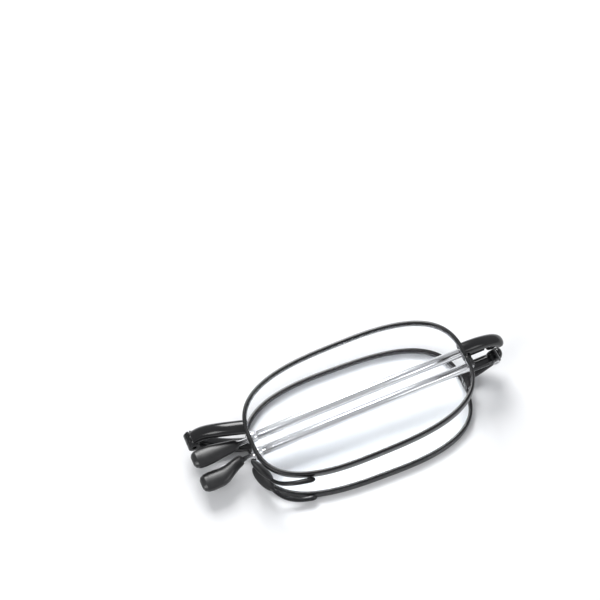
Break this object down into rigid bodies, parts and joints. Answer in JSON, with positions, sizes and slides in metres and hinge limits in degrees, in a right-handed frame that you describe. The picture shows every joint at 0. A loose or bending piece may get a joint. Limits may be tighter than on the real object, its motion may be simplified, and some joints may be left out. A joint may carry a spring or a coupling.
{
  "type": "folding reading glasses",
  "caption": "Pocket reading glasses that fold at the bridge and have telescopic temples, shown folded shut with the temples between the two lenses.",
  "frame": {"origin": "bottom centre of the folded object's box, on the plane that the right lens rim rests on", "axes": "+X outward from the bridge hinge to the temple hinges, +Y up on the wearer's face, +Z up from the surface it lies on"},
  "size_m": [0.069, 0.027, 0.0148],
  "materials": {
    "black_enamel": "glossy black enamel over metal",
    "black_tip": "satin black moulded ear tip",
    "black_rubber": "satin black moulded nose pad",
    "chrome_tube": "polished chrome-plated tube",
    "steel_screw": "small slotted steel screw",
    "clear_lens": "clear lens with a faint blue-violet coating"
  },
  "bodies": {
    "right_front": {"right_rim": "black_enamel", "right_lens": "clear_lens", "right_bridge_bar": "black_enamel", "right_endpiece": "black_enamel", "right_rim_lock": "black_enamel", "right_rim_lock_screw": "steel_screw", "right_pad_arm": "black_enamel", "right_nose_pad": "black_rubber", "right_temple_screw": "steel_screw", "bridge_screw": "steel_screw"},
    "right_temple": {"right_temple_leaf": "black_enamel", "right_outer_tube": "chrome_tube", "right_ferrule": "chrome_tube"},
    "right_middle_section": {"right_middle_tube": "chrome_tube"},
    "right_end_section": {"right_inner_rod": "chrome_tube", "right_tip": "black_tip"},
    "left_front": {"left_rim": "black_enamel", "left_lens": "clear_lens", "left_bridge_bar": "black_enamel", "left_endpiece": "black_enamel", "left_rim_lock": "black_enamel", "left_rim_lock_screw": "steel_screw", "left_pad_arm": "black_enamel", "left_nose_pad": "black_rubber", "left_temple_screw": "steel_screw"},
    "left_temple": {"left_temple_leaf": "black_enamel", "left_outer_tube": "chrome_tube", "left_ferrule": "chrome_tube"},
    "left_middle_section": {"left_middle_tube": "chrome_tube"},
    "left_end_section": {"left_inner_rod": "chrome_tube", "left_tip": "black_tip"}
  },
  "joints": [
    {"name": "bridge_fold", "type": "hinge", "parent": "right_front", "child": "left_front", "pos_m": [-0.03281, 0.0071, 0.0048], "axis": [0, -1, 0], "range_deg": [0, 174.8]},
    {"name": "right_temple_fold", "type": "hinge", "parent": "right_front", "child": "right_temple", "pos_m": [0.03187, 0.00205, 0.00664], "axis": [0, 1, 0], "range_deg": [0, 3]},
    {"name": "left_temple_fold", "type": "hinge", "parent": "left_front", "child": "left_temple", "pos_m": [0.03177, 0.00205, 0.00883], "axis": [0, -1, 0], "range_deg": [0, 3]},
    {"name": "right_middle_tube_slide", "type": "slide", "parent": "right_temple", "child": "right_middle_section", "axis": [0.9988, 0.0209, 0.0454], "range_m": [-0.036, 0]},
    {"name": "right_rod_slide", "type": "slide", "parent": "right_middle_section", "child": "right_end_section", "axis": [0.9988, 0.0209, 0.0454], "range_m": [-0.034, 0]},
    {"name": "left_middle_tube_slide", "type": "slide", "parent": "left_temple", "child": "left_middle_section", "axis": [0.9988, 0.0209, 0.0454], "range_m": [-0.036, 0]},
    {"name": "left_rod_slide", "type": "slide", "parent": "left_middle_section", "child": "left_end_section", "axis": [0.9988, 0.0209, 0.0454], "range_m": [-0.034, 0]}
  ]
}
